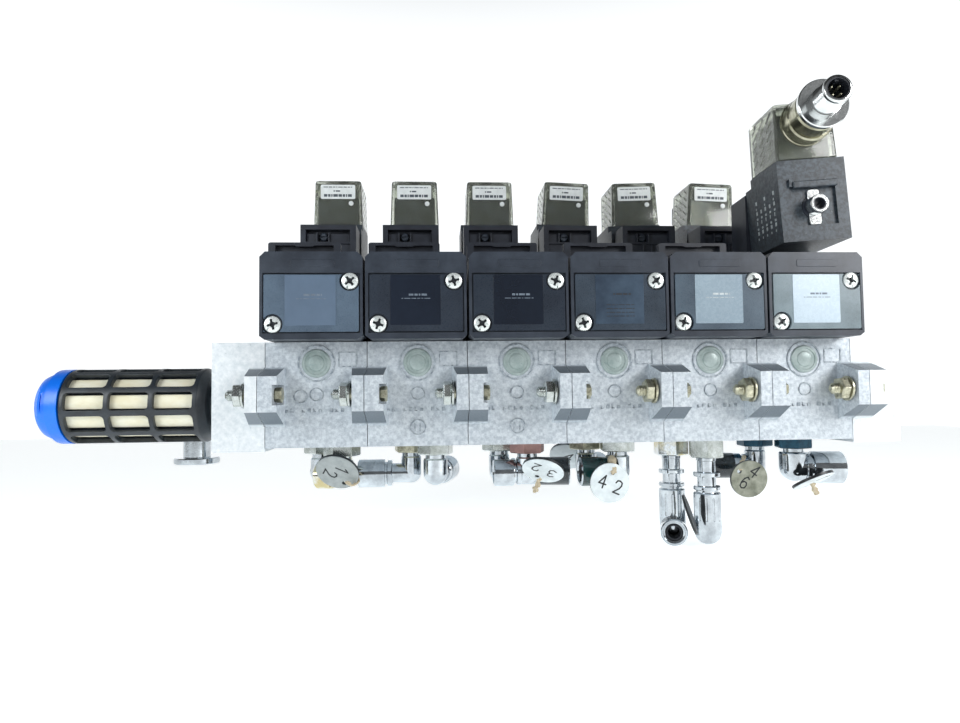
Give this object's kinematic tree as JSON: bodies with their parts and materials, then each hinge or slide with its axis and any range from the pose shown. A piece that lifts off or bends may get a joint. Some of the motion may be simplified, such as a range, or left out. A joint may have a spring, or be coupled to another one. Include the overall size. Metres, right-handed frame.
{
  "type": "solenoid directional valve manifold",
  "caption": "Row of solenoid directional valves on bolted aluminium sub-bases with end plates, square plug connectors, an exhaust silencer and tube fittings below.",
  "frame": {"origin": "middle of the manifold, on the plane that the feet of the two end plates stand on", "axes": "+X along the row of valves towards the end plate without the silencer, +Y from the front caps to the back, +Z from the tube fittings up to the coils"},
  "size_m": [0.3774, 0.1755, 0.2028],
  "materials": {
    "machined_aluminium": "machined and blasted",
    "cast_aluminium": "die-cast, mottled",
    "valve_plastic": "moulded, satin",
    "cap_plastic": "moulded, satin",
    "spool_steel": "ground",
    "coil_plastic": "worn, mottled",
    "smoky_plastic": "smoky translucent",
    "button_plastic": "moulded",
    "silencer_cage": "moulded",
    "porous_element": "porous, matte",
    "blue_plastic": "moulded",
    "chrome_plate": "nickel plated"
  },
  "bodies": {
    "manifold": {"end_plate_left": "machined_aluminium", "end_plate_right": "machined_aluminium", "manifold_base_1": "cast_aluminium", "valve_body_1": "valve_plastic", "end_cap_1": "cap_plastic", "coil_1": "coil_plastic", "connector_1": "smoky_plastic", "manifold_base_2": "cast_aluminium", "valve_body_2": "valve_plastic", "end_cap_2": "cap_plastic", "coil_2": "coil_plastic", "connector_2": "smoky_plastic", "manifold_base_3": "cast_aluminium", "valve_body_3": "valve_plastic", "end_cap_3": "cap_plastic", "coil_3": "coil_plastic", "connector_3": "smoky_plastic", "manifold_base_4": "cast_aluminium", "valve_body_4": "valve_plastic", "end_cap_4": "cap_plastic", "coil_4": "coil_plastic", "connector_4": "smoky_plastic", "manifold_base_5": "cast_aluminium", "valve_body_5": "valve_plastic", "end_cap_5": "cap_plastic", "coil_5": "coil_plastic", "connector_5": "smoky_plastic", "manifold_base_6": "cast_aluminium", "valve_body_6": "valve_plastic", "end_cap_6": "cap_plastic", "coil_6": "coil_plastic", "connector_6": "smoky_plastic", "front_pilot_head": "valve_plastic", "coil_7": "coil_plastic", "connector_7": "smoky_plastic", "m12_adaptor": "chrome_plate", "silencer_body": "silencer_cage", "silencer_element": "porous_element", "silencer_cap": "blue_plastic"},
    "spool_1": {"spool_1": "spool_steel"},
    "spool_2": {"spool_2": "spool_steel"},
    "spool_3": {"spool_3": "spool_steel"},
    "spool_4": {"spool_4": "spool_steel"},
    "spool_5": {"spool_5": "spool_steel"},
    "spool_6": {"spool_6": "spool_steel"},
    "override_button_1": {"override_button_1": "button_plastic"},
    "override_button_2": {"override_button_2": "button_plastic"},
    "override_button_3": {"override_button_3": "button_plastic"},
    "override_button_4": {"override_button_4": "button_plastic"},
    "override_button_5": {"override_button_5": "button_plastic"},
    "override_button_6": {"override_button_6": "button_plastic"},
    "override_button_7": {"override_button_7": "button_plastic"},
    "elbow_2a": {"elbow_2a": "chrome_plate"},
    "elbow_2b": {"elbow_2b": "chrome_plate"},
    "elbow_3b": {"elbow_3b": "chrome_plate"},
    "elbow_4a": {"elbow_4a": "chrome_plate"},
    "elbow_5a": {"elbow_5a": "chrome_plate"},
    "elbow_5b": {"elbow_5b": "chrome_plate"},
    "elbow_6a": {"elbow_6a": "chrome_plate"},
    "supply_elbow": {"supply_elbow": "chrome_plate"}
  },
  "joints": [
    {"name": "spool_shift_1", "type": "slide", "parent": "manifold", "child": "spool_1", "axis": [0, 1, 0], "range_m": [0, 0.005], "stiffness_N_per_m": 800, "springref_m": -0.004},
    {"name": "spool_shift_2", "type": "slide", "parent": "manifold", "child": "spool_2", "axis": [0, 1, 0], "range_m": [0, 0.005], "stiffness_N_per_m": 800, "springref_m": -0.004},
    {"name": "spool_shift_3", "type": "slide", "parent": "manifold", "child": "spool_3", "axis": [0, 1, 0], "range_m": [0, 0.005], "stiffness_N_per_m": 800, "springref_m": -0.004},
    {"name": "spool_shift_4", "type": "slide", "parent": "manifold", "child": "spool_4", "axis": [0, 1, 0], "range_m": [0, 0.005], "stiffness_N_per_m": 800, "springref_m": -0.004},
    {"name": "spool_shift_5", "type": "slide", "parent": "manifold", "child": "spool_5", "axis": [0, 1, 0], "range_m": [0, 0.005], "stiffness_N_per_m": 800, "springref_m": -0.004},
    {"name": "spool_shift_6", "type": "slide", "parent": "manifold", "child": "spool_6", "axis": [0, 1, 0], "range_m": [0, 0.005]},
    {"name": "override_press_1", "type": "slide", "parent": "manifold", "child": "override_button_1", "axis": [0, 1, 0], "range_m": [0, 0.0012], "stiffness_N_per_m": 1200, "springref_m": -0.001},
    {"name": "override_press_2", "type": "slide", "parent": "manifold", "child": "override_button_2", "axis": [0, 1, 0], "range_m": [0, 0.0012], "stiffness_N_per_m": 1200, "springref_m": -0.001},
    {"name": "override_press_3", "type": "slide", "parent": "manifold", "child": "override_button_3", "axis": [0, 1, 0], "range_m": [0, 0.0012], "stiffness_N_per_m": 1200, "springref_m": -0.001},
    {"name": "override_press_4", "type": "slide", "parent": "manifold", "child": "override_button_4", "axis": [0, 1, 0], "range_m": [0, 0.0012], "stiffness_N_per_m": 1200, "springref_m": -0.001},
    {"name": "override_press_5", "type": "slide", "parent": "manifold", "child": "override_button_5", "axis": [0, 1, 0], "range_m": [0, 0.0012], "stiffness_N_per_m": 1200, "springref_m": -0.001},
    {"name": "override_press_6", "type": "slide", "parent": "manifold", "child": "override_button_6", "axis": [0, 1, 0], "range_m": [0, 0.0012], "stiffness_N_per_m": 1200, "springref_m": -0.001},
    {"name": "override_press_7", "type": "slide", "parent": "manifold", "child": "override_button_7", "axis": [-0.0523, -0.9986, 0], "range_m": [0, 0.0012], "stiffness_N_per_m": 1200, "springref_m": -0.001},
    {"name": "swivel_2a", "type": "hinge", "parent": "manifold", "child": "elbow_2a", "pos_m": [-0.0573, -0.03, -0.0132], "axis": [0, 0, 1], "range_deg": [-12, 12]},
    {"name": "swivel_2b", "type": "hinge", "parent": "manifold", "child": "elbow_2b", "pos_m": [-0.0691, -0.015, -0.0145], "axis": [0, 0, 1], "range_deg": [-15, 15]},
    {"name": "swivel_3b", "type": "hinge", "parent": "manifold", "child": "elbow_3b", "pos_m": [-0.0261, -0.015, -0.0145], "axis": [0, 0, 1], "range_deg": [0, 15]},
    {"name": "swivel_4a", "type": "hinge", "parent": "manifold", "child": "elbow_4a", "pos_m": [0.0287, -0.03, -0.0138], "axis": [0, 0, 1], "range_deg": [0, 20]},
    {"name": "swivel_5a", "type": "hinge", "parent": "manifold", "child": "elbow_5a", "pos_m": [0.0717, -0.03, -0.043], "axis": [0, 0, 1], "range_deg": [-20, 20]},
    {"name": "swivel_5b", "type": "hinge", "parent": "manifold", "child": "elbow_5b", "pos_m": [0.0599, -0.015, -0.0435], "axis": [0, 0, 1], "range_deg": [-10, 11]},
    {"name": "swivel_6a", "type": "hinge", "parent": "manifold", "child": "elbow_6a", "pos_m": [0.1147, -0.03, -0.0138], "axis": [0, 0, 1], "range_deg": [-30, 30]},
    {"name": "swivel_supply", "type": "hinge", "parent": "manifold", "child": "supply_elbow", "pos_m": [-0.16, 0, 0.02], "axis": [1, 0, 0], "range_deg": [-30, 30]}
  ]
}
